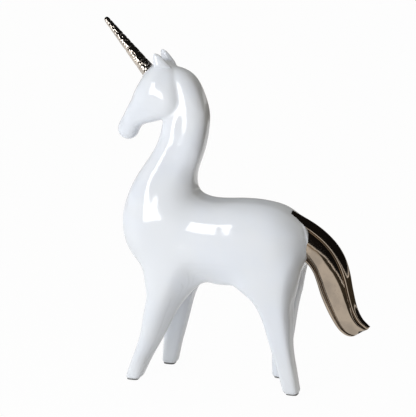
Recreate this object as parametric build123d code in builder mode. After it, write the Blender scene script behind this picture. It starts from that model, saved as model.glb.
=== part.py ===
from build123d import *
import math
import os

# A standing unicorn ornament in glazed ceramic, slip cast as hollow pieces that are luted together,
# with a horn and a tail in mirror metal glaze. Millimetres, +Z up, head towards -X, left side towards -Y.
# The origin lies on the standing surface, under the middle of the space the ornament takes up.

# Barrel
back_height = 157.3
barrel_depth = 73.3
body_length = 163.0
body_width = 57.0

# Neck
withers_advance = 16.7      # middle of the barrel forward to the root of the crest
neck_height = 109.0         # back to the top of the crest
neck_depth = 42.0
neck_width = 29.0

# Head
head_length = 70.5
head_depth = 33.0
head_width = 32.5
head_advance = 33.9         # root of the crest forward to the poll
face_slope = 25.5           # degrees that the face leans out from upright

# Legs
foot_length = 13.2
foot_width = 13.8
front_thigh_length = 54.0
rear_thigh_length = 47.0
front_flare = 13.0          # how far a thigh spreads under the belly
rear_flare = 19.0
thigh_width = 28.0
front_stance = 44.6         # between the middles of the feet
rear_stance = 35.6
shoulder_advance = 36.0     # middle of the barrel forward to the front legs
hip_setback = 54.6          # middle of the barrel back to the rear legs
front_left_reach = 29.0     # how far a foot stands forward of its shoulder or hip
front_right_reach = 11.5
rear_left_reach = -16.7
rear_right_reach = 3.0
leg_joint_height = 72.0
foot_edge = 1.0

# Casting
wall = 4.0
solid_foot_height = 24.0    # below this a leg is too thin to drain and stays solid
vent_diameter = 6.0
vent_setback = 4.0          # middle of the barrel back to the hole under the belly
bore_diameter = 7.0         # down each leg, from the barrel's hollow to the solid foot

# Ears
ear_height = 13.6
ear_length = 15.0
ear_thickness = 5.2
ear_spacing = 17.0
ear_setback = 8.0           # poll back to the middle of an ear's root
ear_drop = 4.8              # poll down to an ear's root

# Horn
horn_length = 55.6
horn_base_diameter = 12.0
horn_tip_diameter = 4.2
horn_tilt = 41.2            # degrees forward from upright
horn_setback = 9.9          # poll down the face to the middle of the horn's root
horn_seat_depth = 1.4
horn_spigot_diameter = 5.0
horn_spigot_length = 6.0

# Tail
tail_setback = 69.4         # middle of the barrel back to the top of the tail's root
tail_height = 151.0
tail_sweep = 60.0           # how far the tail runs back from its root
tail_drop = 102.0           # how far it falls
tail_thickness = 17.0
tail_spigot_diameter = 8.0
tail_spigot_length = 10.0
tail_spigot_drop = 21.0
tail_notch_radius = 3.2

# Pads and fits
pad_thickness = 1.0
pad_inset = 1.6
fit_clearance = 0.15
overrun = 2.0

# Barrel stations from rump to breast: upper point, lower point (each x, z), half width, squareness.
# x is a share of the body length from the middle, z a share of the barrel depth above the belly.
barrel_shares = [
    ((0.497, 0.560), (0.497, 0.460), 0.14, 2.0),
    ((0.489, 0.670), (0.489, 0.375), 0.38, 2.1),
    ((0.468, 0.770), (0.466, 0.300), 0.58, 2.2),
    ((0.430, 0.842), (0.427, 0.220), 0.77, 2.5),
    ((0.372, 0.923), (0.370, 0.140), 0.91, 2.7),
    ((0.290, 0.975), (0.288, 0.070), 0.98, 2.9),
    ((0.180, 0.988), (0.178, 0.025), 1.00, 3.0),
    ((0.070, 0.973), (0.045, 0.003), 1.00, 3.0),
    ((-0.030, 0.972), (-0.130, 0.003), 1.00, 3.0),
    ((-0.080, 1.012), (-0.290, 0.055), 1.00, 2.9),
    ((-0.098, 1.062), (-0.440, 0.300), 0.97, 2.8),
]

# Neck stations upwards: crest point, front point, half width, squareness.
# x is a share of the neck depth from the root of the crest, z a share of the neck height above the back.
neck_shares = [
    ((0.020, 0.190), (-1.275, 0.062), 1.50, 2.9),
    ((0.105, 0.286), (-0.990, 0.243), 1.28, 3.2),
    ((0.190, 0.405), (-0.750, 0.400), 1.11, 3.5),
    ((0.234, 0.522), (-0.650, 0.527), 1.00, 3.7),
    ((0.240, 0.640), (-0.600, 0.640), 0.93, 3.6),
    ((0.164, 0.756), (-0.575, 0.690), 0.89, 3.4),
    ((0.045, 0.862), (-0.580, 0.722), 0.85, 3.1),
    ((-0.165, 0.945), (-0.640, 0.752), 0.78, 2.7),
    ((-0.500, 0.976), (-0.740, 0.800), 0.60, 2.4),
]

# Head stations from poll to lip: distance down the face, nose side, jaw side, half width, squareness.
# Distances are shares of the head's length, nose and jaw sides of its depth.
head_shares = [
    (-0.075, 0.200, 0.500, 0.22, 2.0),
    (-0.040, 0.060, 0.680, 0.50, 2.2),
    (0.045, -0.020, 0.860, 0.78, 2.6),
    (0.140, -0.080, 0.970, 0.93, 3.0),
    (0.235, -0.120, 1.080, 1.00, 3.3),
    (0.350, -0.145, 1.120, 1.00, 3.4),
    (0.475, -0.152, 1.040, 0.89, 3.2),
    (0.590, -0.155, 0.725, 0.75, 2.9),
    (0.700, -0.158, 0.470, 0.62, 2.7),
    (0.790, -0.165, 0.345, 0.54, 2.6),
    (0.880, -0.172, 0.345, 0.52, 2.6),
    (0.955, -0.120, 0.300, 0.44, 2.4),
    (0.995, -0.025, 0.200, 0.24, 2.1),
]

# Leg stations upwards: height, lean towards the foot, flare under the belly, length, width,
# spread to the barrel's side, tuck inside the barrel, squareness.
leg_shares = [
    (0.000, 1.00, 0.00, 0.000, 0.00, 0.00, 0.00, 4.0),
    (0.160, 0.81, 0.00, 0.035, 0.03, 0.02, 0.00, 4.0),
    (0.330, 0.60, 0.00, 0.085, 0.09, 0.08, 0.00, 4.0),
    (0.530, 0.375, 0.00, 0.175, 0.20, 0.22, 0.00, 3.9),
    (0.735, 0.19, 0.00, 0.325, 0.37, 0.42, 0.00, 3.7),
    (0.905, 0.02, 0.12, 0.490, 0.57, 0.66, 0.00, 3.4),
    (1.010, 0.00, 0.58, 0.634, 0.75, 0.84, 0.01, 3.1),
    (1.105, 0.00, 1.00, 0.751, 0.90, 0.96, 0.02, 2.8),
    (1.240, 0.00, 0.33, 0.912, 1.00, 1.00, 0.04, 2.6),
    (1.400, 0.00, 0.00, 0.800, 0.90, 1.00, 0.12, 2.4),
    (1.550, 0.00, 0.00, 0.500, 0.65, 1.00, 0.25, 2.2),
]

# Ear stations from root to tip: height, shift along the head, length, thickness.
ear_shares = [
    (-0.35, 0.06, 1.04, 1.00),
    (0.00, 0.00, 1.00, 1.00),
    (0.30, -0.13, 0.76, 0.88),
    (0.55, -0.22, 0.58, 0.78),
    (0.80, -0.30, 0.41, 0.62),
    (0.97, -0.345, 0.22, 0.36),
]

# Tail stations from root to end: outer edge, inner edge, thickness.
# Each edge is a share of the sweep back from the root and of the drop below it.
tail_shares = [
    ((0.030, 0.015), (-0.100, 0.320), 0.90),
    ((0.200, 0.044), (0.070, 0.380), 0.97),
    ((0.370, 0.103), (0.183, 0.440), 1.00),
    ((0.517, 0.180), (0.258, 0.520), 0.98),
    ((0.638, 0.280), (0.317, 0.622), 0.93),
    ((0.715, 0.402), (0.387, 0.745), 0.86),
    ((0.765, 0.534), (0.472, 0.843), 0.78),
    ((0.815, 0.681), (0.558, 0.926), 0.68),
    ((0.887, 0.800), (0.642, 0.980), 0.56),
    ((0.962, 0.864), (0.722, 0.987), 0.44),
    ((1.041, 0.916), (0.785, 1.004), 0.26),
]

# The small dip in the tail's end, on the same two shares.
notch_share = (0.905, 0.984)

# Half of the tail's section between its middle and an edge: a broad swell, a groove and a rim strand.
strand_shares = [(0.40, 0.80), (0.60, 0.53), (0.70, 0.31), (0.77, 0.36), (0.87, 0.38), (0.95, 0.25)]

belly_height = back_height - barrel_depth
bore_rise = barrel_depth / 5
crest_height = back_height + neck_height
down_face = Vector(0, 0, -1).rotate(Axis.Y, face_slope)
to_jaw = Vector(1, 0, 0).rotate(Axis.Y, face_slope)
along_horn = Vector(0, 0, 1).rotate(Axis.Y, -horn_tilt)
poll_advance = withers_advance + head_advance

# The ornament's ends are the horn's tip and the tail's, and its middle is set between them.
forehead_share = head_shares[3][1]
poll_to_horn = down_face * horn_setback + to_jaw * (forehead_share * head_depth)
horn_tip_advance = poll_advance - poll_to_horn.X - along_horn.X * horn_length
tail_tip_setback = tail_setback + tail_sweep * tail_shares[-1][0][0]
middle_x = (horn_tip_advance - tail_tip_setback) / 2
poll = Vector(middle_x - poll_advance, 0, crest_height)


def ring(plane, half_length, half_width, squareness, count=12):
    """A closed, softly squared curve on a plane."""
    power = 2 / squareness
    places = []
    for step in range(count):
        turn = 2 * math.pi * step / count
        across, up = math.cos(turn), math.sin(turn)
        x = half_length * math.copysign(abs(across) ** power, across)
        y = half_width * math.copysign(abs(up) ** power, up)
        places.append((x, y))
    return outline(plane, places)


def outline(plane, places):
    """A face on a plane inside one smooth closed curve through the places."""
    with BuildSketch(plane) as face:
        with BuildLine():
            Spline(*places, periodic=True)
        make_face()
    return face.sketch


def skin(sections):
    """One smooth solid through the sections."""
    with BuildPart() as form:
        loft(sections=sections)
    return form.part


def cross_plane(start, end):
    """The plane that holds a station's two ends and the ornament's own left-to-right line."""
    middle = (start + end) / 2
    along = (end - start).normalized()
    return Plane(origin=middle, x_dir=along, z_dir=along.cross(Vector(0, 1, 0)))


def barrel_place(share):
    return Vector(middle_x + share[0] * body_length, 0, belly_height + share[1] * barrel_depth)


def neck_place(share):
    return Vector(
        middle_x - withers_advance + share[0] * neck_depth, 0, back_height + share[1] * neck_height
    )


def tail_place(share):
    return Vector(
        middle_x + tail_setback + share[0] * tail_sweep, 0, tail_height - share[1] * tail_drop
    )


def trunk_skin(inset):
    """Barrel and neck in one, with stations that fan round the withers. An inset gives the hollow."""
    stations = []
    for start, end, width, squareness in barrel_shares:
        stations.append((barrel_place(start), barrel_place(end), width * body_width / 2, squareness))
    for start, end, width, squareness in neck_shares:
        stations.append((neck_place(start), neck_place(end), width * neck_width / 2, squareness))
    if inset:
        stations = stations[2:-2]
    sections = []
    for start, end, half_width, squareness in stations:
        half_length = (end - start).length / 2
        plane = cross_plane(start, end)
        sections.append(ring(plane, half_length - inset, half_width - inset, squareness))
    return skin(sections)


def leg_places(front, side):
    """Middle, half length and half width of each station of one leg. Side is -1 for left, 1 for right."""
    if front:
        reach = front_left_reach if side < 0 else front_right_reach
        root_x, thigh_length, stance = middle_x - shoulder_advance, front_thigh_length, front_stance
        flare_length = front_flare
    else:
        reach = rear_left_reach if side < 0 else rear_right_reach
        root_x, thigh_length, stance = middle_x + hip_setback, rear_thigh_length, rear_stance
        flare_length = -rear_flare
    foot_side = stance / 2 + foot_width / 2
    body_side = body_width / 2
    places = []
    for height, lean, flare, length, width, spread, tuck, _ in leg_shares:
        half_length = (foot_length + length * (thigh_length - foot_length) + flare * abs(flare_length)) / 2
        half_width = (foot_width + width * (thigh_width - foot_width)) / 2
        x = root_x - lean * reach + flare * flare_length / 2
        y = foot_side + spread * (body_side - foot_side) - tuck * body_side - half_width
        z = pad_thickness + height * (belly_height - pad_thickness)
        places.append((Vector(x, side * y, z), half_length, half_width))
    return places


def leg_skin(front, side):
    """One leg from its foot up into the barrel."""
    sections = []
    for (middle, half_length, half_width), shares in zip(leg_places(front, side), leg_shares):
        sections.append(ring(Plane(middle), half_length, half_width, shares[-1]))
    return skin(sections)


def head_skin(inset):
    """The head from poll to lip, across its own length."""
    stations = head_shares[2:-2] if inset else head_shares
    sections = []
    for distance, nose, jaw, width, squareness in stations:
        middle = poll + down_face * (distance * head_length) + to_jaw * ((nose + jaw) / 2 * head_depth)
        plane = Plane(origin=middle, x_dir=to_jaw, z_dir=to_jaw.cross(Vector(0, 1, 0)))
        half_length = (jaw - nose) / 2 * head_depth - inset
        sections.append(ring(plane, half_length, width * head_width / 2 - inset, squareness))
    return skin(sections)


def ear_skin(side):
    """A leaf that stands on the head, its front edge upright and its back edge raked."""
    sections = []
    for height, shift, length, thickness in ear_shares:
        place = ear_root + Vector(shift * ear_length, side * ear_spacing / 2, height * ear_height)
        sections.append(ring(Plane(origin=place), length * ear_length / 2, thickness * ear_thickness / 2, 2))
    return skin(sections)


def tail_skin():
    """The tail's sweep, with a rim strand along each edge."""
    sections = []
    for outer, inner, thickness in tail_shares:
        start, end = tail_place(outer), tail_place(inner)
        half_length = (end - start).length / 2
        half_thickness = thickness * tail_thickness / 2
        rim = [(along * half_length, across * half_thickness) for along, across in strand_shares]
        quarter = [(0, half_thickness)] + rim
        far = [(-x, y) for x, y in reversed(quarter)]
        upper = [(-half_length, 0)] + far + rim
        lower = [(-x, -y) for x, y in upper]
        sections.append(outline(cross_plane(start, end), upper + lower))
    return skin(sections)


ear_root = poll + Vector(ear_setback, 0, -ear_drop)
horn_root = poll + poll_to_horn
horn_plane = Plane(horn_root - along_horn * horn_seat_depth, x_dir=(0, 1, 0), z_dir=along_horn)
rump_x = middle_x + body_length * barrel_shares[0][0][0]
tail_plane = Plane((rump_x, 0, tail_height - tail_spigot_drop), x_dir=(0, 1, 0), z_dir=(1, 0, 0))
joint_plane = Plane.XY.offset(leg_joint_height)
corners = {
    "front_left": (True, -1),
    "front_right": (True, 1),
    "rear_left": (False, -1),
    "rear_right": (False, 1),
}

trunk_form = trunk_skin(0)
trunk_hollow = trunk_skin(wall)
leg_forms = {corner: leg_skin(*place) for corner, place in corners.items()}
head_form = head_skin(0)
head_hollow = head_skin(wall)

# The outside of barrel, neck and legs, which the other pieces are shaped against.
with BuildPart() as cast_form:
    add(trunk_form)
    for leg_form in leg_forms.values():
        add(leg_form)

pieces = {}
bore_mouths = []

# The lower legs: thick castings with a narrow bore and solid feet, level where they are luted to the thighs.
# Each stands on a felt pad of the foot's own outline.
for corner, place in corners.items():
    with BuildPart() as leg:
        add(leg_forms[corner])
        split(bisect_by=joint_plane, keep=Keep.BOTTOM)
        fillet(leg.edges().group_by(Axis.Z)[0], foot_edge)
        bore_mouth = leg.faces().sort_by(Axis.Z)[-1].center(CenterOf.BOUNDING_BOX)
        bore_line = (bore_mouth - leg_places(*place)[2][0]).normalized()
        bore_length = (leg_joint_height - solid_foot_height) / bore_line.Z
        with BuildSketch(Plane(bore_mouth + bore_line * bore_diameter, z_dir=-bore_line)):
            Circle(bore_diameter / 2)
        extrude(amount=bore_diameter + bore_length, mode=Mode.SUBTRACT)
        bore_mouths.append(bore_mouth)
    leg.part.label = f"leg_{corner}"
    pieces[leg.part.label] = leg

    foot_place = leg_places(*place)[0][0]
    pad_face = ring(
        Plane((foot_place.X, foot_place.Y, 0)),
        foot_length / 2 - pad_inset,
        foot_width / 2 - pad_inset,
        leg_shares[0][-1],
    )
    with BuildPart() as foot_pad:
        extrude(pad_face, amount=pad_thickness)
    foot_pad.part.label = f"foot_pad_{corner}"
    pieces[foot_pad.part.label] = foot_pad

# Barrel, neck and thighs: one hollow casting, bored through the thighs, open where the head is luted in.
with BuildPart() as body_casting:
    add(cast_form.part)
    split(bisect_by=joint_plane, keep=Keep.TOP)
    add(head_form, mode=Mode.SUBTRACT)
    add(trunk_hollow, mode=Mode.SUBTRACT)
    for bore_mouth in bore_mouths:
        with BuildSketch(Plane(bore_mouth)):
            Circle(bore_diameter / 2)
        extrude(amount=belly_height + bore_rise - leg_joint_height, mode=Mode.SUBTRACT)
    with BuildSketch(tail_plane):
        Circle(tail_spigot_diameter / 2 + fit_clearance)
    extrude(amount=tail_spigot_length + fit_clearance, both=True, mode=Mode.SUBTRACT)
    with BuildSketch(Plane((middle_x + vent_setback, 0, belly_height - overrun))):
        Circle(vent_diameter / 2)
    extrude(amount=wall + 2 * overrun, mode=Mode.SUBTRACT)
body_casting.part.label = "body_casting"
pieces["body_casting"] = body_casting

# The head: a hollow casting with a flat seat and a socket for the horn, and an air hole into the neck.
air_plane = Plane(
    poll + down_face * (head_shares[4][0] * head_length) + to_jaw * (head_depth / 2),
    x_dir=(0, 1, 0),
    z_dir=to_jaw,
)
with BuildPart() as head_casting:
    add(head_form)
    add(head_hollow, mode=Mode.SUBTRACT)
    with BuildSketch(horn_plane):
        Circle(horn_base_diameter / 2 + fit_clearance)
    extrude(amount=horn_base_diameter, mode=Mode.SUBTRACT)
    with BuildSketch(horn_plane):
        Circle(horn_spigot_diameter / 2 + fit_clearance)
    extrude(amount=-horn_spigot_length - overrun, mode=Mode.SUBTRACT)
    with BuildSketch(air_plane):
        Circle(vent_diameter / 2)
    extrude(amount=head_depth, mode=Mode.SUBTRACT)
head_casting.part.label = "head_casting"
pieces["head_casting"] = head_casting

# The horn: a taper with a round tip, on a spigot that is glued into the forehead.
horn_profile_plane = Plane(horn_plane.origin, x_dir=(0, 1, 0), z_dir=Vector(0, 1, 0).cross(along_horn))
horn_top = horn_length + horn_seat_depth
tip_radius = horn_tip_diameter / 2
round_start = horn_top - tip_radius
with BuildPart() as horn:
    with BuildSketch(horn_profile_plane):
        with BuildLine():
            Polyline(
                (0, horn_top),
                (0, -horn_spigot_length),
                (horn_spigot_diameter / 2, -horn_spigot_length),
                (horn_spigot_diameter / 2, 0),
                (horn_base_diameter / 2, 0),
                (tip_radius, round_start),
            )
            RadiusArc((tip_radius, round_start), (0, horn_top), -tip_radius)
        make_face()
    revolve(axis=Axis(horn_plane.origin, along_horn))
horn.part.label = "horn"
pieces["horn"] = horn

# The tail: a swept lock of hair, seated on the rump and held by a spigot.
tail_form = tail_skin()
notch_place = tail_place(notch_share)
with BuildPart() as tail:
    add(tail_form)
    add(trunk_form, mode=Mode.SUBTRACT)
    with BuildSketch(Plane(notch_place, x_dir=(1, 0, 0), z_dir=(0, 1, 0))):
        Circle(tail_notch_radius)
    extrude(amount=tail_thickness, both=True, mode=Mode.SUBTRACT)
    with BuildSketch(tail_plane):
        Circle(tail_spigot_diameter / 2)
    extrude(amount=-tail_spigot_length)
    with BuildSketch(tail_plane):
        Circle(tail_spigot_diameter / 2)
    extrude(amount=tail_spigot_diameter)
tail.part.label = "tail"
pieces["tail"] = tail

# The ears: small solid leaves, shaped to the head that they are luted to.
for name, side in {"ear_left": -1, "ear_right": 1}.items():
    ear_form = ear_skin(side)
    with BuildPart() as ear:
        add(ear_form)
        add(head_form, mode=Mode.SUBTRACT)
        add(trunk_form, mode=Mode.SUBTRACT)
    ear.part.label = name
    pieces[name] = ear

os.makedirs("parts", exist_ok=True)
for name, piece in pieces.items():
    export_step(piece.part, f"parts/{name}.step")
    print(name, "solids", len(piece.part.solids()), "volume", round(piece.part.volume))
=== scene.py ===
import math

import bpy
import numpy as np
import openvdb
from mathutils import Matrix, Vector


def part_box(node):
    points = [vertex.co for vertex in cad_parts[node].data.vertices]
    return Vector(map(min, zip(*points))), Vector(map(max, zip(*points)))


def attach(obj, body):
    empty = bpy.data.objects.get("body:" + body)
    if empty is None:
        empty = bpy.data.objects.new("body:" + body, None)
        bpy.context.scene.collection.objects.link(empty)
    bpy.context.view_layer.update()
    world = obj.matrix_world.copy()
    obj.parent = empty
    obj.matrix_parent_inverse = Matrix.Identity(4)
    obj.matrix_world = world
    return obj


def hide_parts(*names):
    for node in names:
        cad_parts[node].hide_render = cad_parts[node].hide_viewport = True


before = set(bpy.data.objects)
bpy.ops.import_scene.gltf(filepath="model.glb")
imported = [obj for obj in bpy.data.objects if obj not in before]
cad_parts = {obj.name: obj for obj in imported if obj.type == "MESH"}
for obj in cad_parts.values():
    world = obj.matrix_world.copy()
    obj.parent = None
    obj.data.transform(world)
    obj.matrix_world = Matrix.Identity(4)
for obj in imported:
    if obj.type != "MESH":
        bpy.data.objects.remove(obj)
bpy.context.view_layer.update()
print("frame loaded")

mm = 0.001
pi = math.pi

# Small helpers for arrays and meshes, in millimetres


def smoothStep(low, high, value):
    share = np.clip((value - low) / (high - low), 0.0, 1.0)
    return share * share * (3.0 - 2.0 * share)


def boxOf(name):
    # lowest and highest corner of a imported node
    return [np.array(corner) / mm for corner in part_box(name)]


def nodeMesh(name):
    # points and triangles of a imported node
    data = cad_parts[name].data
    data.calc_loop_triangles()
    points = np.empty(len(data.vertices) * 3, np.float32)
    data.vertices.foreach_get("co", points)
    triangles = np.empty(len(data.loop_triangles) * 3, np.int32)
    data.loop_triangles.foreach_get("vertices", triangles)
    return points.reshape(-1, 3) / mm, triangles.reshape(-1, 3).astype(np.uint32)


def newPiece(name, points, faces, material, slot, *replaced):
    # a smooth-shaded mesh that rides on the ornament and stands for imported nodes
    data = bpy.data.meshes.new(name)
    places = (np.asarray(points, float) * mm).tolist()
    data.from_pydata(places, [], [list(map(int, face)) for face in faces])
    data.polygons.foreach_set("use_smooth", [True] * len(data.polygons))
    data.materials.append(material)
    data.update()
    piece = bpy.data.objects.new(name, data)
    bpy.context.scene.collection.objects.link(piece)
    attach(piece, "root")
    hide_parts(*replaced)
    print("made", name, len(data.polygons), "faces")


def gridFaces(rows, columns):
    # quads of a tube: rows along it, columns round it
    row, column = np.meshgrid(np.arange(rows - 1), np.arange(columns), indexing="ij")
    after = (column + 1) % columns
    here, beyond = row * columns, (row + 1) * columns
    corners = [here + column, here + after, beyond + after, beyond + column]
    return np.stack(corners, -1).reshape(-1, 4)


def closedTube(rings):
    # points and faces of a tube through rings, with a point in the middle of each end
    rows, columns = rings.shape[:2]
    points = np.concatenate([rings.reshape(-1, 3), [rings[0].mean(0)], [rings[-1].mean(0)]])
    faces = [tuple(face) for face in gridFaces(rows, columns)]
    first, last = rows * columns, rows * columns + 1
    for column in range(columns):
        after = (column + 1) % columns
        faces.append((after, column, first))
        faces.append(((rows - 1) * columns + column, (rows - 1) * columns + after, last))
    return points, faces


def splineThrough(values, places, wanted):
    # a smooth curve through rows of values at rising places, read at the wanted places
    slopes = np.gradient(values, places, axis=0)
    index = np.clip(np.searchsorted(places, wanted, side="right") - 1, 0, len(places) - 2)
    span = (places[index + 1] - places[index])[:, None]
    t = (wanted - places[index])[:, None] / span
    start, end = values[index], values[index + 1]
    pull, push = slopes[index] * span, slopes[index + 1] * span
    return (
        start * (2 * t**3 - 3 * t**2 + 1) + pull * (t**3 - 2 * t**2 + t)
        + end * (3 * t**2 - 2 * t**3) + push * (t**3 - t**2)
    )


def softNoise(points, size, seed):
    # smooth noise from about -1 to 1 with bumps about as wide as size
    random = np.random.default_rng(seed)
    total = np.zeros(len(points))
    waves = 14
    for _ in range(waves):
        direction = random.normal(size=3)
        direction *= pi / size / np.linalg.norm(direction)
        total += np.sin(points @ direction + random.uniform(0, 2 * pi))
    return total / math.sqrt(waves)


# Shader maths: a wire is an output socket that can be added, subtracted from a number and multiplied


class Wire:
    def __init__(self, socket):
        self.socket = socket

    def maths(self, operation, first, second):
        tree = self.socket.id_data
        node = tree.nodes.new("ShaderNodeMath")
        node.operation = operation
        for place, value in enumerate((first, second)):
            if isinstance(value, Wire):
                tree.links.new(value.socket, node.inputs[place])
            else:
                node.inputs[place].default_value = value
        return Wire(node.outputs[0])

    def __add__(self, other):
        return self.maths("ADD", self, other)

    def __radd__(self, other):
        return self.maths("ADD", other, self)

    def __rsub__(self, other):
        return self.maths("SUBTRACT", other, self)

    def __mul__(self, other):
        return self.maths("MULTIPLY", self, other)

    def __rmul__(self, other):
        return self.maths("MULTIPLY", other, self)


class Finish:
    # a material, or the world, whose nodes are made by one method
    def __init__(self, name, world=False):
        self.owner = bpy.data.worlds.new(name) if world else bpy.data.materials.new(name)
        self.owner.use_nodes = True
        self.tree = self.owner.node_tree
        self.tree.nodes.clear()
        self.end = self.tree.nodes.new("ShaderNodeOutputWorld" if world else "ShaderNodeOutputMaterial")

    def node(self, kind, settings=None, output=0, **inputs):
        # settings are the node's own, and inputs are values or wires by the names of its sockets
        made = self.tree.nodes.new(kind)
        for key, value in (settings or {}).items():
            setattr(made, key, value)
        for key, value in inputs.items():
            wanted = key.replace("_", " ").lower()
            socket = next(s for s in made.inputs if s.name.lower() == wanted and s.enabled)
            if isinstance(value, Wire):
                self.tree.links.new(value.socket, socket)
            elif isinstance(value, tuple) and socket.type == "RGBA":
                socket.default_value = (*value, 1.0)
            else:
                socket.default_value = value
        return Wire(made.outputs[output])

    def place(self):
        # where a point lies on the ornament, in metres
        return self.node("ShaderNodeTexCoord", output=3)

    def noise(self, scale, detail=2.0, roughness=0.5):
        return self.node(
            "ShaderNodeTexNoise", Vector=self.place(), Scale=scale, Detail=detail, Roughness=roughness
        )

    def mix(self, factor, first, second):
        return self.node(
            "ShaderNodeMix", {"data_type": "RGBA"}, output=2, Factor=factor, A=first, B=second
        )

    def ramp(self, factor, low, high):
        return self.node(
            "ShaderNodeMapRange", {"interpolation_type": "SMOOTHSTEP"},
            Value=factor, From_Min=low, From_Max=high,
        )

    def finish(self, shader):
        self.tree.links.new(shader.socket, self.end.inputs[0])
        return self.owner


# White glaze: glossy and faintly clouded, with bare biscuit where it is wiped off under the feet

glazeLook = {
    "colour": (0.775, 0.800, 0.865),
    "thinColour": (0.790, 0.808, 0.855),
    "clouds": (26.0, 3.0),              # scale and detail of the noise between the two colours
    "cloudRange": (0.35, 0.65),
    "biscuitColour": (0.62, 0.58, 0.52),
    "glazedFrom": (0.0011, 0.0019),     # height in metres over which biscuit turns to glaze
    "wipedScale": 300.0,
    "wipedHeight": 0.0008,              # how far that height wanders
    "roughness": 0.06,
    "smears": (140.0, 4.0),
    "smearRoughness": 0.04,
    "biscuitRoughness": 0.6,
    "ripple": (34.0, 1.0),
    "fineRipple": (260.0, 2.0),
    "fineShare": 0.05,
    "rippleStrength": 0.5,
    "rippleDepth": 0.0006,
    "ior": 1.52,
}


def whiteGlaze():
    look = glazeLook
    made = Finish("whiteGlaze")
    clouds = made.ramp(made.noise(*look["clouds"]), *look["cloudRange"])
    tone = made.mix(clouds, look["colour"], look["thinColour"])
    height = made.node("ShaderNodeSeparateXYZ", Vector=made.place(), output=2)
    wandering = height + look["wipedHeight"] * made.noise(look["wipedScale"])
    wiped = 1.0 - made.ramp(wandering, *look["glazedFrom"])
    colour = made.mix(wiped, tone, look["biscuitColour"])
    smears = look["smearRoughness"] * made.noise(*look["smears"])
    gloss = look["roughness"] + smears + look["biscuitRoughness"] * wiped
    ripple = made.noise(*look["ripple"]) + look["fineShare"] * made.noise(*look["fineRipple"])
    bump = made.node(
        "ShaderNodeBump", Strength=look["rippleStrength"], Distance=look["rippleDepth"], Height=ripple
    )
    shader = made.node(
        "ShaderNodeBsdfPrincipled", Base_Color=colour, Roughness=gloss, Normal=bump, IOR=look["ior"]
    )
    return made.finish(shader)


# Mirror glaze: clouded dark metal with a few dull specks, paler on the horn

metalLook = {
    "colour": (0.33, 0.275, 0.220),
    "warmColour": (0.42, 0.345, 0.270),
    "roughness": 0.035,
    "dimpleScale": 150.0,
    "dimpleStrength": 0.22,
}

hornLook = {
    "colour": (0.52, 0.48, 0.44),
    "warmColour": (0.60, 0.54, 0.48),
    "roughness": 0.03,
    "dimpleScale": 330.0,
    "dimpleStrength": 0.35,
}

mirrorDetail = {                        # what both have
    "clouds": (55.0, 4.0),
    "cloudRange": (0.4, 0.62),
    "specks": (900.0, 2.0),
    "speckRange": (0.66, 0.74),
    "speckShare": 0.5,
    "speckColour": (0.16, 0.14, 0.13),
    "speckRoughness": 0.12,
    "smears": (160.0, 4.0),
    "smearRoughness": 0.05,
    "dimpleDepth": 0.0003,
}


def metalGlaze(name, look):
    detail = mirrorDetail
    made = Finish(name)
    clouds = made.ramp(made.noise(*detail["clouds"]), *detail["cloudRange"])
    tone = made.mix(clouds, look["colour"], look["warmColour"])
    specks = made.ramp(made.noise(*detail["specks"]), *detail["speckRange"])
    colour = made.mix(detail["speckShare"] * specks, tone, detail["speckColour"])
    smears = detail["smearRoughness"] * made.noise(*detail["smears"])
    gloss = look["roughness"] + smears + detail["speckRoughness"] * specks
    bump = made.node(
        "ShaderNodeBump", Strength=look["dimpleStrength"], Distance=detail["dimpleDepth"],
        Height=made.noise(look["dimpleScale"]),
    )
    shader = made.node(
        "ShaderNodeBsdfPrincipled", Base_Color=colour, Metallic=1.0, Roughness=gloss, Normal=bump
    )
    return made.finish(shader)


# Felt: short fibres in two greys

feltLook = {
    "colour": (0.16, 0.157, 0.155),
    "fibreColour": (0.34, 0.335, 0.33),
    "fibres": (2600.0, 4.0, 0.7),       # scale, detail and roughness of the noise
    "fibreRange": (0.45, 0.7),
    "fibreDepth": 0.0002,
    "roughness": 0.95,
    "sheen": 0.5,
    "sheenRoughness": 0.5,
}


def felt():
    look = feltLook
    made = Finish("felt")
    fibres = made.noise(*look["fibres"])
    colour = made.mix(made.ramp(fibres, *look["fibreRange"]), look["colour"], look["fibreColour"])
    bump = made.node("ShaderNodeBump", Strength=1.0, Distance=look["fibreDepth"], Height=fibres)
    shader = made.node(
        "ShaderNodeBsdfPrincipled", Base_Color=colour, Roughness=look["roughness"], Normal=bump,
        Sheen_Weight=look["sheen"], Sheen_Roughness=look["sheenRoughness"],
    )
    return made.finish(shader)


whiteGlazeFinish = whiteGlaze()
metalGlazeFinish = metalGlaze("metalGlaze", metalLook)
hornGlazeFinish = metalGlaze("hornGlaze", hornLook)
feltFinish = felt()
print("finishes made")

# The white casting: one glaze skin over barrel, neck, head and legs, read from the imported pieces

# Behind these edges, and the lines that end in them, the belly, haunches and legs turn inward. A row is x,
# z, how far the turn takes, the share of the width that it takes off, and the distance from the middle of
# the ornament that the rest closes in on.
bellyEdge = [
    (-36, 114, 28, 0.27, 0), (-24, 117.5, 30, 0.23, 0), (-12, 117.5, 30, 0.20, 0), (-2, 114.5, 26, 0.15, 0),
    (8, 107, 18, 0.08, 0), (15, 97, 12, 0.0, 0),
]
haunchEdge = [(47.2, 104, 12, 0.30, 0), (50.4, 118, 12, 0.16, 0), (50.1, 132, 11, 0.0, 0)]

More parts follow.
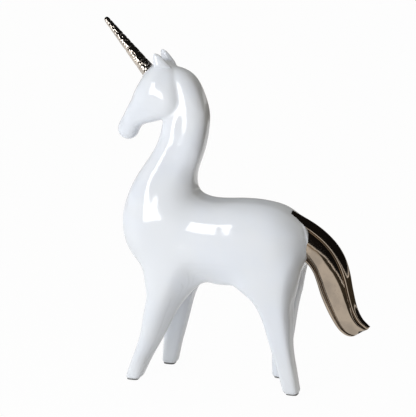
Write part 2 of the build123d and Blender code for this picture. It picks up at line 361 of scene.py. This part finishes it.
skin = {
    "cell": 0.8,                       # grid spacing
    "band": 4,                         # cells on each side of a surface that hold its distance
    "spareCells": 3,                   # the same, past the fillet
    "fillet": 7.0,                     # rounding where the legs and withers meet the barrel
    "filletRoom": 4.0,                 # empty grid round that
    "filletTop": (178.0, 205.0),       # the rounding fades out up the neck
    "blurReach": 2.5,                  # how far a blur looks, in spreads
    "blur": 1.2,                       # how far edges are softened
    "headBlur": 0.7,                   # less so on the head
    "headFrom": (196.0, 214.0),
    "thighBlur": 4.5,                  # and more where the thighs melt into the barrel
    "thighsFrom": (80.0, 98.0),
    "thighsTo": (124.0, 146.0),
    "lastBlur": 0.5,
    "neckLevels": (166.0, 262.0, 2.0),
    "neckSlab": 1.6,                   # half height of the slab that is measured at each level
    "neckFrom": (146.0, 176.0),
    "neckRidge": 0.33,                 # place across the neck from which it narrows to the crest
    "neckTaper": 0.055,
    "flank": [                         # place along the body and how steeply the sides widen there
        (-92, 0.00), (-84, 0.05), (-76, -0.04), (-67, -0.12), (-59, -0.10), (-50, -0.05), (-41, -0.03),
        (-32, 0.05), (-24, 0.06), (-16, 0.03), (-8, 0.00), (0, 0.00), (8, -0.04), (16, -0.03), (24, 0.00),
        (60, 0.00),
    ],
    "flankSteps": 400,
    "flankFrom": (100.0, 130.0),
    "flankTo": (185.0, 205.0),
    "flankSide": (5.0, 16.0),          # distance from the middle over which that starts
    "waves": [(22.0, 0.13, 3), (11.0, 0.05, 8), (6.0, 0.02, 5)],     # width, height and seed
    "rims": {"tail": 0.9, "horn": 1.1},        # beads of glaze round the joints with the mirror pieces
    "frontLine": [
        (-81, 0, 9, 0.55, 13), (-77, 18, 9, 0.70, 13), (-69, 37, 11, 0.75, 13), (-63, 57, 13, 0.75, 11),
        (-56.5, 76, 17, 0.55, 0), (-51, 94, 21, 0.44, 0), (-45, 107, 25, 0.33, 0), *bellyEdge,
    ],
    "farFrontLine": [
        (-64, 0, 7, 0.10, 17), (-61.5, 18, 8, 0.14, 17), (-58.5, 37, 10, 0.18, 17),
        (-56.5, 57, 12, 0.22, 13), (-54.5, 76, 16, 0.30, 0), (-50, 94, 21, 0.34, 0),
        (-45, 107, 25, 0.31, 0), *bellyEdge,
    ],
    "hindLine": [
        (58, 0, 5, 0.40, 13), (55, 18, 5, 0.50, 13), (51.5, 33, 6.5, 0.60, 13), (47.5, 48, 7.5, 0.65, 12),
        (45, 67, 9, 0.58, 8), (45.3, 88, 11, 0.42, 0), *haunchEdge,
    ],
    "farHindLine": [
        (49, 0, 5, 0.15, 15), (46.5, 18, 5, 0.20, 15), (44.5, 33, 6, 0.25, 15), (42, 48, 7, 0.30, 13),
        (42, 67, 9, 0.34, 8), (44.5, 88, 11, 0.36, 0), *haunchEdge,
    ],
    "softEdge": 0.35,                  # share of the turn that its rounded edge takes
    "turnRounds": 50,                  # how often the turn is evened out over the skin
    "plugs": [                         # balls that close the holes into the hollow: place and radius
        ((-15.0, 0.0, 88.0), 4.3),
        ((59.0, 0.0, 130.0), 5.4),
        ((-73.5, 0.0, 255.2), 4.2),
    ],
}

castNodes = ["body_casting", "head_casting"]
castNodes += [f"leg_{place}" for place in ("front_left", "front_right", "rear_left", "rear_right")]

cell = skin["cell"]
castBoxes = [boxOf(name) for name in castNodes]
margin = skin["fillet"] + skin["filletRoom"]
castLow = np.min([low for low, high in castBoxes], 0) - margin
castHigh = np.max([high for low, high in castBoxes], 0) + margin
firstCell = np.floor(castLow / cell).astype(int)
cellCount = np.ceil(castHigh / cell).astype(int) - firstCell + 1
cellPlace = openvdb.createLinearTransform(voxelSize=cell)
gridX, gridY, gridZ = np.meshgrid(
    *((first + np.arange(count)) * cell for first, count in zip(firstCell, cellCount)),
    indexing="ij", sparse=True,
)


def distanceGrid(points, faces, band):
    points, faces = np.ascontiguousarray(points, np.float32), np.ascontiguousarray(faces, np.uint32)
    kind = "triangles" if faces.shape[1] == 3 else "quads"
    return openvdb.FloatGrid.createLevelSetFromPolygons(
        points, transform=cellPlace, halfWidth=float(band), **{kind: faces}
    )


def gridArray(grid):
    values = np.zeros(cellCount, np.float32)
    grid.copyToArray(values, ijk=tuple(int(i) for i in firstCell))
    return values


def arrayGrid(values):
    grid = openvdb.FloatGrid(float(values.max()))
    grid.copyFromArray(values, ijk=tuple(int(i) for i in firstCell))
    grid.transform = cellPlace
    return grid


def outerShell(grid, level):
    # the largest connected surface at a level, which leaves the hollows inside out
    points, faces = grid.convertToQuads(level)
    faces = faces.astype(np.int64)
    label = np.arange(len(points))
    while True:
        lowest = label[faces].min(1)
        after = label.copy()
        for corner in range(4):
            np.minimum.at(after, faces[:, corner], lowest)
        after = after[after]
        if np.array_equal(after, label):
            break
        label = after
    names, sizes = np.unique(label[faces[:, 0]], return_counts=True)
    kept = faces[label[faces[:, 0]] == names[sizes.argmax()]]
    used, flat = np.unique(kept, return_inverse=True)
    return points[used], flat.reshape(-1, 4)


def blurred(values, spread):
    # a gaussian blur, one axis after the other
    reach = int(math.ceil(skin["blurReach"] * spread / cell))
    weights = np.exp(-0.5 * (np.arange(-reach, reach + 1) * cell / spread) ** 2)
    weights /= weights.sum()
    for axis in range(3):
        padded = np.pad(values, [(reach, reach) if a == axis else (0, 0) for a in range(3)], mode="edge")
        length = values.shape[axis]
        values = sum(
            weight * np.take(padded, range(step, step + length), axis=axis)
            for step, weight in enumerate(weights)
        )
    return values


def taperedNeck(points):
    # the sides of the neck close in towards its crest
    height = points[:, 2]
    levels = np.arange(*skin["neckLevels"])
    slabs = [points[np.abs(height - level) < skin["neckSlab"], 0] for level in levels]
    front = np.interp(height, levels, [x.min() for x in slabs])
    rear = np.interp(height, levels, [x.max() for x in slabs])
    across = np.clip((front + rear - 2 * points[:, 0]) / (rear - front), -1, 1)
    share = smoothStep(*skin["neckFrom"], height) * np.minimum(across - skin["neckRidge"], 0.0)
    tapered = points.copy()
    tapered[:, 1] *= 1 + skin["neckTaper"] * share
    return tapered


def joinedCastings():
    # distances to the six castings together, with the holes into their hollow plugged
    joined = None
    for name in castNodes:
        points, triangles = nodeMesh(name)
        if name == "body_casting":
            points = taperedNeck(points)
        values = gridArray(distanceGrid(points, triangles, skin["band"]))
        joined = values if joined is None else np.minimum(joined, values)
    for (x, y, z), radius in skin["plugs"]:
        away = np.sqrt((gridX - x) ** 2 + (gridY - y) ** 2 + (gridZ - z) ** 2)
        joined = np.minimum(joined, (away - radius).astype(np.float32))
    return joined


def roundedJoints(joined):
    # the outside grown by the fillet and shrunk again, which fills the joints, but not up the neck
    fillet = skin["fillet"]
    wide = fillet / cell + skin["spareCells"]
    solid = distanceGrid(*outerShell(arrayGrid(joined), 0.0), wide)
    plain = gridArray(solid)
    grown = distanceGrid(*outerShell(solid, fillet), wide)
    rounded = np.minimum(gridArray(grown) + fillet, plain)
    sharp = smoothStep(*skin["filletTop"], gridZ)
    return (sharp * plain + (1 - sharp) * rounded).astype(np.float32)


def softened(values):
    # edges blurred, more round the thighs and less on the head
    nearHead = smoothStep(*skin["headFrom"], gridZ)
    nearThighs = smoothStep(*skin["thighsFrom"], gridZ) * (1 - smoothStep(*skin["thighsTo"], gridZ))
    soft = (1 - nearHead) * blurred(values, skin["blur"]) + nearHead * blurred(values, skin["headBlur"])
    return (1 - nearThighs) * soft + nearThighs * blurred(values, skin["thighBlur"])


def castSkin():
    # the white skin as a mesh of quads, with a bead of glaze round the roots of the tail and the horn
    values = softened(roundedJoints(joinedCastings()))
    for name, bead in skin["rims"].items():
        mirror = gridArray(distanceGrid(*nodeMesh(name), skin["band"]))
        values = np.minimum(values, np.maximum(mirror, values) - bead)
    values = blurred(values.astype(np.float32), skin["lastBlur"])
    return outerShell(arrayGrid(np.ascontiguousarray(values, np.float32)), 0.0)


def outwardOf(points, faces):
    # unit normals of a mesh of quads
    first, second, third, fourth = (points[faces[:, corner]] for corner in range(4))
    across = np.cross(third - first, fourth - second)
    outward = np.zeros_like(points)
    for corner in range(4):
        np.add.at(outward, faces[:, corner], across)
    return outward / np.linalg.norm(outward, axis=1, keepdims=True)


def turnedIn(x, y, z, line):
    # new places across the body, closed in behind a line
    edge = skin["softEdge"]
    nearest, left, middle = np.full(len(x), np.inf), np.ones(len(x)), np.zeros(len(x))
    for (x0, z0, *start), (x1, z1, *end) in zip(line[:-1], line[1:]):
        runX, runZ = x1 - x0, z1 - z0
        along = np.clip(((x - x0) * runX + (z - z0) * runZ) / (runX**2 + runZ**2), 0, 1)
        offX, offZ = x - x0 - along * runX, z - z0 - along * runZ
        away = np.hypot(offX, offZ)
        behind = np.where(offX * runZ - offZ * runX > 0, away, 0.0)
        reach, loss, core = (a + (b - a) * along for a, b in zip(start, end))
        part = np.clip(behind / reach, 0, 1)
        turned = np.where(part < edge, part**2 / (2 * edge), part - edge / 2) / (1 - edge / 2)
        closer = away < nearest
        nearest = np.where(closer, away, nearest)
        left = np.where(closer, 1 - loss * turned, left)
        middle = np.where(closer, core, middle)
    return np.sign(y) * (middle + (np.abs(y) - middle) * left)


def relaxed(values, faces, rounds):
    # evens a value out over a mesh of quads
    start, end = faces.ravel(), np.roll(faces, -1, 1).ravel()
    count = np.bincount(start, minlength=len(values))
    for _ in range(rounds):
        values = 0.5 * (values + np.bincount(start, values[end], len(values)) / count)
    return values


def shapedFlanks(points, faces):
    # swells of the shoulder and barrel, turned-in legs and belly, and an uneven run of glaze
    places, steepness = np.array(skin["flank"], float).T
    fine = np.linspace(places[0], places[-1], skin["flankSteps"])
    slope = np.interp(fine, places, steepness)
    swell = np.concatenate([[0.0], np.cumsum((slope[1:] + slope[:-1]) / 2 * np.diff(fine))])
    x, y, z = points.T
    upTo = 1 - smoothStep(*skin["flankTo"], z)
    part = smoothStep(*skin["flankFrom"], z) * upTo * smoothStep(*skin["flankSide"], np.abs(y))
    shaped = points.copy()
    shaped[:, 1] += np.sign(y) * np.interp(x, fine, swell) * part
    for near, far in (("frontLine", "farFrontLine"), ("hindLine", "farHindLine")):
        y = shaped[:, 1].copy()
        closed = np.where(y < 0, turnedIn(x, y, z, skin[near]), turnedIn(x, y, z, skin[far]))
        shaped[:, 1] += relaxed(closed - y, faces, skin["turnRounds"])
    outward = outwardOf(points, faces)
    for width, height, seed in skin["waves"]:
        shaped += outward * (height * softNoise(points, width, seed))[:, None]
    return shaped


skinPoints, skinFaces = castSkin()
skinFaces = skinFaces[:, ::-1]         # so that they look outward
skinPoints = shapedFlanks(skinPoints.astype(float), skinFaces)
newPiece("glazed_casting", skinPoints, skinFaces, whiteGlazeFinish, "white_glaze", *castNodes)

# Ears: upright leaves with rounded tips, whose roots dive into the head

ear = {
    "aheadOfMiddle": 0.406,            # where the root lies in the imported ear's box
    "insideOfMiddle": 0.197,
    "aboveFoot": 1.723,
    "height": 13.4,
    "length": 15.0,
    "thickness": 5.0,
    "turn": 0.15,                      # how much the face looks to the rear
    "sink": 7.0,                       # how steeply the root leans into the head
    "sinkBelow": 0.32,                 # share of the height below which it does
    "rings": 48,
    "columns": 48,
    "stations": [                      # height, shift along the head, length, thickness, all as shares
        (-0.45, 0.10, 1.05, 1.00),
        (-0.20, 0.08, 1.05, 1.00),
        (0.00, 0.05, 1.02, 1.00),
        (0.20, -0.01, 0.92, 0.95),
        (0.42, -0.09, 0.76, 0.86),
        (0.65, -0.185, 0.58, 0.74),
        (0.84, -0.27, 0.41, 0.60),
        (0.95, -0.33, 0.27, 0.44),
        (1.00, -0.365, 0.10, 0.18),
    ],
}

earLow, earHigh = boxOf("ear_left")
earMiddle = (earLow + earHigh) / 2
earX = earMiddle[0] - ear["aheadOfMiddle"]
earY = abs(earMiddle[1]) - ear["insideOfMiddle"]
earZ = earLow[2] + ear["aboveFoot"]


def earRings(side):
    stations = np.array(ear["stations"])
    places = np.linspace(0, 1, len(stations))
    turn = np.linspace(0, 2 * pi, ear["columns"], endpoint=False)
    rings = []
    for height, shift, length, thickness in splineThrough(stations, places, np.linspace(0, 1, ear["rings"])):
        along = shift * ear["length"] + np.cos(turn) * abs(length) * ear["length"] / 2
        across = np.sin(turn) * abs(thickness) * ear["thickness"] / 2 - ear["turn"] * along
        across = across - ear["sink"] * max(0.0, ear["sinkBelow"] - height)
        z = np.full_like(along, earZ + height * ear["height"])
        rings.append(np.stack([earX + along, side * (earY + across), z], 1))
    return np.array(rings)


for side, name in ((-1, "ear_left"), (1, "ear_right")):
    points, faces = closedTube(earRings(side))
    newPiece("glazed_" + name, points, faces, whiteGlazeFinish, "white_glaze", name)

# Horn: a straight taper covered in small pebbles

horn = {
    "beforeRear": 6.753,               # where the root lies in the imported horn's box
    "aboveFoot": 7.213,
    "tilt": math.radians(41.2),
    "length": 55.6,
    "sunk": 2.2,                       # how far it goes on into the head
    "baseRadius": 6.0,
    "tipRadius": 2.0,
    "leastRadius": 1.0,                # that pebbles are counted by
    "capShare": 1.02,                  # length of the rounded tip, in tip radii
    "tipPoint": 0.02,
    "rings": 260,
    "columns": 150,
    "pebble": 2.9,                     # width of a pebble
    "rowStep": 0.86,                   # distances and shifts of the pebbles, in pebbles
    "shiftAlong": 0.34,
    "shiftRound": 0.32,
    "fewest": 3,                       # pebbles in a row
    "dome": 0.62,
    "relief": 0.55,
    "groove": 0.7,                     # share of the relief that lies below the taper
    "atOnce": 4000,                    # points in one step of the search
    "seed": 4,
}

hornLow, hornHigh = boxOf("horn")
hornRoot = np.array([hornHigh[0] - horn["beforeRear"], 0.0, hornLow[2] + horn["aboveFoot"]])
hornAlong = np.array([-math.sin(horn["tilt"]), 0.0, math.cos(horn["tilt"])])
hornSide = np.array([0.0, 1.0, 0.0])
hornUp = np.cross(hornAlong, hornSide)
hornStart = hornRoot - hornAlong * horn["sunk"]
hornTotal = horn["sunk"] + horn["length"]


def pebbleSeeds(distance, taper):
    # the middles of the pebbles, in uneven rows along the horn
    random = np.random.default_rng(horn["seed"])
    pebble, seeds, step = horn["pebble"], [], 0.0
    while step < hornTotal:
        radius = max(np.interp(step, distance, taper), horn["leastRadius"])
        count = max(horn["fewest"], int(round(2 * pi * radius / pebble)))
        offset = random.uniform(0, 2 * pi)
        for k in range(count):
            shift = random.uniform(-horn["shiftRound"], horn["shiftRound"])
            angle = offset + 2 * pi * (k + shift) / count
            place = step + random.uniform(-horn["shiftAlong"], horn["shiftAlong"]) * pebble
            out = math.cos(angle) * hornSide + math.sin(angle) * hornUp
            seeds.append(hornStart + place * hornAlong + np.interp(place, distance, taper) * out)
        step += pebble * horn["rowStep"]
    return np.array(seeds)


def hornRings():
    distance = np.linspace(0, hornTotal, horn["rings"])
    taper = horn["baseRadius"] + (horn["tipRadius"] - horn["baseRadius"]) * distance / hornTotal
    fromTip = hornTotal - distance
    cap = horn["tipRadius"] * horn["capShare"]
    inside = fromTip < cap
    closing = np.sqrt(np.maximum(cap**2 - (cap - fromTip[inside]) ** 2, 0.0))
    taper[inside] = closing * taper[inside] / cap + horn["tipPoint"]
    turn = np.linspace(0, 2 * pi, horn["columns"], endpoint=False)[:, None]
    outward = np.cos(turn) * hornSide + np.sin(turn) * hornUp
    rings = hornStart + distance[:, None, None] * hornAlong + taper[:, None, None] * outward
    flat = rings.reshape(-1, 3)
    seeds = pebbleSeeds(distance, taper)
    nearest = np.empty(len(flat))
    for start in range(0, len(flat), horn["atOnce"]):
        part = slice(start, start + horn["atOnce"])
        nearest[part] = np.sqrt(((flat[part, None] - seeds) ** 2).sum(2)).min(1)
    dome = np.sqrt(np.clip(1 - (nearest / (horn["dome"] * horn["pebble"])) ** 2, 0, 1))
    lift = horn["relief"] * (dome - horn["groove"]).reshape(rings.shape[:2])
    lift *= np.minimum(1.0, taper / horn["tipRadius"])[:, None]
    return rings + lift[:, :, None] * outward


points, faces = closedTube(hornRings())
newPiece("pebbled_horn", points, faces, hornGlazeFinish, "metal_glaze", "horn")

# Tail: a broad middle lock with a round strand along its outer edge and a slim one along its inner edge

tail = {
    "stations": [            # outer edge x, z and inner edge x, z, thickness, ridge, lean
        (46.0, 150.8, 42.5, 121.0, 14.0, -0.20, 0.040),
        (55.0, 146.3, 49.5, 115.2, 15.4, -0.20, 0.040),
        (65.6, 140.6, 58.3, 109.0, 16.6, -0.20, 0.040),
        (75.4, 133.6, 64.1, 101.8, 16.8, -0.20, 0.035),
        (84.0, 124.8, 67.8, 92.8, 16.2, -0.20, 0.050),
        (90.4, 114.6, 71.4, 81.4, 15.2, 0.00, 0.040),
        (94.6, 102.6, 76.1, 70.4, 13.9, 0.15, 0.020),
        (97.5, 88.6, 81.2, 60.9, 12.3, 0.25, 0.010),
        (101.0, 74.6, 86.3, 53.7, 10.4, 0.28, 0.010),
        (105.4, 65.2, 91.1, 49.9, 8.3, 0.30, 0.020),
        (109.9, 60.4, 95.3, 48.6, 6.0, 0.30, 0.040),
        (112.3, 58.4, 99.2, 48.9, 4.2, 0.30, 0.060),
    ],
    "rings": 240,
    "outerCrease": 0.62,     # where the creases run, from -1 at the inner edge to 1 at the outer
    "innerCrease": -0.70,
    "creaseFloor": 0.42,     # height of the creases as a share of the half thickness
    "outerBulge": 0.34,      # and how far the strands rise above it
    "innerBulge": 0.22,
    "bulgeSkew": 1.8,        # the outer strand is fullest near its crease, so it looks outward
    "strandPoints": (34, 70, 26),      # round the outer strand, the middle lock and the inner strand
    "closesFrom": 0.95,      # share of the length
    "endFrom": 0.88,         # from here the outer strand starts to run on and the middle lock to stop short
    "endLip": (1.0, 0.62, 0.25),       # how far, where across the tail and over what width
    "endNotch": (-1.3, -0.2, 0.22),
    "endWay": (0.52, -0.86),           # which way the tail runs there
}


def quarterWave(arc):
    # rises over the first quarter turn and stays at the top
    return np.cos(np.minimum(arc, pi / 2) - pi / 2)


def tailProfile(ridge):
    # places across the tail from its outer to its inner edge, and the height of its surface there
    outer, inner, floor = tail["outerCrease"], tail["innerCrease"], tail["creaseFloor"]
    outerPoints, middlePoints, innerPoints = tail["strandPoints"]
    arc = np.linspace(0, pi, outerPoints)
    bulge = np.sin(pi * (arc / pi) ** tail["bulgeSkew"])
    place = (1 + outer) / 2 + (1 - outer) / 2 * np.cos(arc)
    first = np.stack([place, floor * quarterWave(arc) + tail["outerBulge"] * bulge], 1)
    arc = np.linspace(0, pi, middlePoints)[1:-1]
    place = ridge + np.where(arc < pi / 2, outer - ridge, ridge - inner) * np.cos(arc)
    second = np.stack([place, floor + (1 - floor) * np.sin(arc)], 1)
    arc = np.linspace(0, pi, innerPoints)
    place = (inner - 1) / 2 + (inner + 1) / 2 * np.cos(arc)
    third = np.stack([place, floor * quarterWave(pi - arc) + tail["innerBulge"] * np.sin(arc)], 1)
    return np.concatenate([first, second, third])


def hump(place, size, middle, width):
    return size * np.exp(-((place - middle) / width) ** 2)


def tailRings():
    stations = np.array(tail["stations"])
    places, wanted = np.linspace(0, 1, len(stations)), np.linspace(0, 1, tail["rings"])
    endX, endZ = tail["endWay"]
    rings = []
    for t, row in zip(wanted, splineThrough(stations, places, wanted)):
        outerX, outerZ, innerX, innerZ, thickness, ridge, lean = row
        across, height = tailProfile(ridge).T
        closing = max(0.0, (t - tail["closesFrom"]) / (1 - tail["closesFrom"]))
        closed = math.sqrt(max(1 - closing**2, 0.0))
        last = smoothStep(tail["endFrom"], 1.0, t)
        beyond = last * (hump(across, *tail["endLip"]) + hump(across, *tail["endNotch"]))
        share = (across + 1) / 2
        x = innerX + (outerX - innerX) * share + endX * beyond
        z = innerZ + (outerZ - innerZ) * share + endZ * beyond
        y = height * thickness / 2 * closed
        width = math.hypot(outerX - innerX, outerZ - innerZ)
        shift = lean * across * width / 2 * closed
        front = np.stack([x, shift - y, z], 1)
        back = np.stack([x, shift + y, z], 1)[::-1][1:-1]
        rings.append(np.concatenate([front, back]))
    return np.array(rings)


points, faces = closedTube(tailRings())
newPiece("mirror_tail", points, faces, metalGlazeFinish, "metal_glaze", "tail")

# Felt pads: rounded squares with soft edges and a slightly frayed outline

pad = {
    "share": 0.95,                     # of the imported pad's width and length
    "roundness": 3.6,                  # exponent of the outline
    "columns": 72,
    "fray": 0.006,
    "seed": 7,
    "profile": [                       # height and width, as shares
        (0, 0.0), (0, 0.5), (0, 0.93), (0.06, 0.99), (0.3, 1.0), (0.7, 1.0), (0.94, 0.99), (1, 0.93),
        (1, 0.0),
    ],
}


def superCircle(value):
    return np.sign(value) * np.abs(value) ** (2 / pad["roundness"])


def padRings(low, high):
    middle, half = (low + high) / 2, (high - low) / 2 * pad["share"]
    turn = np.linspace(0, 2 * pi, pad["columns"], endpoint=False)
    x, y = half[0] * superCircle(np.cos(turn)), half[1] * superCircle(np.sin(turn))
    random = np.random.default_rng(pad["seed"])
    rings = []
    for height, share in pad["profile"]:
        frayed = share * (1 + random.uniform(-pad["fray"], 0.0, len(turn)))
        z = np.full(len(turn), low[2] + height * (high - low)[2])
        rings.append(np.stack([middle[0] + x * frayed, middle[1] + y * frayed, z], 1))
    return np.array(rings)


for corner in ("front_left", "front_right", "rear_left", "rear_right"):
    points, faces = closedTube(padRings(*boxOf("foot_pad_" + corner)))
    newPiece("felt_pad_" + corner, points, faces, feltFinish, "felt", "foot_pad_" + corner)
print("pieces made")

# Stage: floor, lights, world and camera, in metres

white = (1.0, 1.0, 1.0)

stage = {
    "floorReach": 6.0,
    "paper": (0.64, 0.64, 0.63),         # white paper under and before the ornament
    "table": (0.10, 0.085, 0.065),       # and the darker table beyond its edge on the tail's side
    "seenFloor": (0.9, 0.9, 0.9),        # what the camera sees of either, besides the glow
    "glowShare": 0.96,
    "paperEdge": (0.17, 0.25),
    "glowFadeReach": (0.60, 2.2),             # painted falloff: the paper's glow, as gloss mirrors it, turns dimmer and warmer further off
    "fadedFarGlow": (0.42, 0.33, 0.23),
    "coolLight": (3.62, 3.83, 4.01),     # world colour low down on the side that the light comes from
    "lightFrom": (-0.438, -0.899, 0.0),
    "lightSpread": (0.06, 1.24),         # how far off that direction it fades
    "lightTop": (0.19, 0.39),            # and above what height on the sky
    "backLight": (1.10, 1.13, 1.12),     # a weaker one shows the far side
    "backFrom": (-0.35, 0.937, 0.0),
    "backSpread": (0.20, 1.0),
    "warmShade": (0.13, 0.09, 0.03),     # everywhere else
    "ceiling": (0.60, 0.60, 0.57),       # what comes from above
    "ceilingRise": (0.25, 0.9),
    "darkRoom": (0.012, 0.011, 0.011),   # what gloss mirrors above the horizon
    "horizon": (0.0, 0.07),
}


def lightPath(made):
    # the outputs of a Light Path node, by name
    path = made.node("ShaderNodeLightPath")
    return {socket.name: Wire(socket) for socket in path.socket.node.outputs}


def floorPaper():
    made = Finish("floorPaper")
    seen = lightPath(made)
    direct = seen["Is Camera Ray"]
    alongX = made.node("ShaderNodeSeparateXYZ", Vector=made.place())
    onPaper = 1.0 - made.ramp(alongX, *stage["paperEdge"])
    away = made.node("ShaderNodeVectorMath", {"operation": "LENGTH"}, output=1, Vector=made.place())
    near = made.mix(onPaper, stage["table"], stage["paper"])
    plain = made.node("ShaderNodeBsdfDiffuse", Color=made.mix(direct, near, stage["seenFloor"]))
    # painted falloff: the glow that gloss sees on the paper fades to a dimmer, warmer colour further off
    mirrored = made.mix(made.ramp(away, *stage["glowFadeReach"]), white, stage["fadedFarGlow"])
    glow = made.node("ShaderNodeEmission", Color=made.mix(direct, mirrored, white), Strength=1.0)
    shown = (seen["Is Glossy Ray"] + seen["Is Transmission Ray"]) * onPaper + direct
    mixed = made.node("ShaderNodeMixShader", Fac=stage["glowShare"] * shown)
    for place, shader in ((1, plain), (2, glow)):
        made.tree.links.new(shader.socket, mixed.socket.node.inputs[place])
    return made.finish(mixed)


def stageFloor():
    reach = stage["floorReach"]
    corners = [(-reach, -reach, 0), (reach, -reach, 0), (reach, reach, 0), (-reach, reach, 0)]
    data = bpy.data.meshes.new("floor")
    data.from_pydata(corners, [], [(0, 1, 2, 3)])
    data.materials.append(floorPaper())
    piece = bpy.data.objects.new("floor", data)
    bpy.context.scene.collection.objects.link(piece)


def stageWorld():
    made = Finish("studio", world=True)
    seen = lightPath(made)
    direction = made.node("ShaderNodeTexCoord", output=0)

    def towards(place):
        facing = made.node("ShaderNodeVectorMath", {"operation": "DOT_PRODUCT"}, output=1, Vector=direction)
        facing.socket.node.inputs[1].default_value = place
        return facing

    rise = made.node("ShaderNodeSeparateXYZ", Vector=direction, output=2)
    low = 1.0 - made.ramp(rise, *stage["lightTop"])
    lit = made.ramp(towards(stage["lightFrom"]), *stage["lightSpread"]) * low
    behind = made.ramp(towards(stage["backFrom"]), *stage["backSpread"])
    around = made.mix(made.ramp(rise, *stage["ceilingRise"]), stage["warmShade"], stage["ceiling"])
    around = made.mix(behind, around, stage["backLight"])
    soft = made.mix(lit, around, stage["coolLight"])
    mirrored = made.mix(made.ramp(rise, *stage["horizon"]), white, stage["darkRoom"])
    colour = made.mix(seen["Is Glossy Ray"], soft, mirrored)
    colour = made.mix(seen["Is Camera Ray"] + seen["Is Transmission Ray"], colour, white)
    bpy.context.scene.world = made.finish(made.node("ShaderNodeBackground", Color=colour, Strength=1.0))


# One low upright softbox beside the camera, which the neck's strip and the barrel's patch mirror

window = {
    "turn": math.radians(-21.5),
    "away": 0.8,
    "aimX": -0.025,
    "low": 0.06,
    "high": 0.457,
    "width": 0.165,
    "power": 1.75,
}


def windowLight():
    aim = Vector((window["aimX"], 0, (window["low"] + window["high"]) / 2))
    data = bpy.data.lights.new("window", "AREA")
    data.shape = "RECTANGLE"
    data.size, data.size_y = window["width"], window["high"] - window["low"]
    data.energy = window["power"]
    lamp = bpy.data.objects.new("window", data)
    turn, away = window["turn"], window["away"]
    lamp.location = aim + Vector((math.sin(turn) * away, -math.cos(turn) * away, 0))
    lamp.rotation_euler = (aim - lamp.location).to_track_quat("-Z", "Y").to_euler()
    lamp.visible_camera = False
    bpy.context.scene.collection.objects.link(lamp)


view = {
    "target": (-0.02558, 0.0, 0.1465),
    "azimuth": math.radians(17.3),
    "elevation": math.radians(16.0),
    "distance": 1.639,
    "focal": 2000.0,         # in pixels of the picture
    "pictureSide": 417,      # the longer side of the picture, in pixels
    "sensor": 36.0,
    "seesTo": 50,
}


def camera():
    data = bpy.data.cameras.new("camera")
    data.sensor_width = view["sensor"]
    data.lens = view["focal"] / view["pictureSide"] * view["sensor"]
    data.clip_end = view["seesTo"]
    turn, rise = view["azimuth"], view["elevation"]
    away = Vector((math.sin(turn) * math.cos(rise), -math.cos(turn) * math.cos(rise), math.sin(rise)))
    seer = bpy.data.objects.new("camera", data)
    seer.location = Vector(view["target"]) + away * view["distance"]
    seer.rotation_euler = (-away).to_track_quat("-Z", "Y").to_euler()
    bpy.context.scene.collection.objects.link(seer)
    bpy.context.scene.camera = seer


stageFloor()
stageWorld()
windowLight()
camera()
bpy.context.scene.view_settings.view_transform = "Standard"
print("stage made")
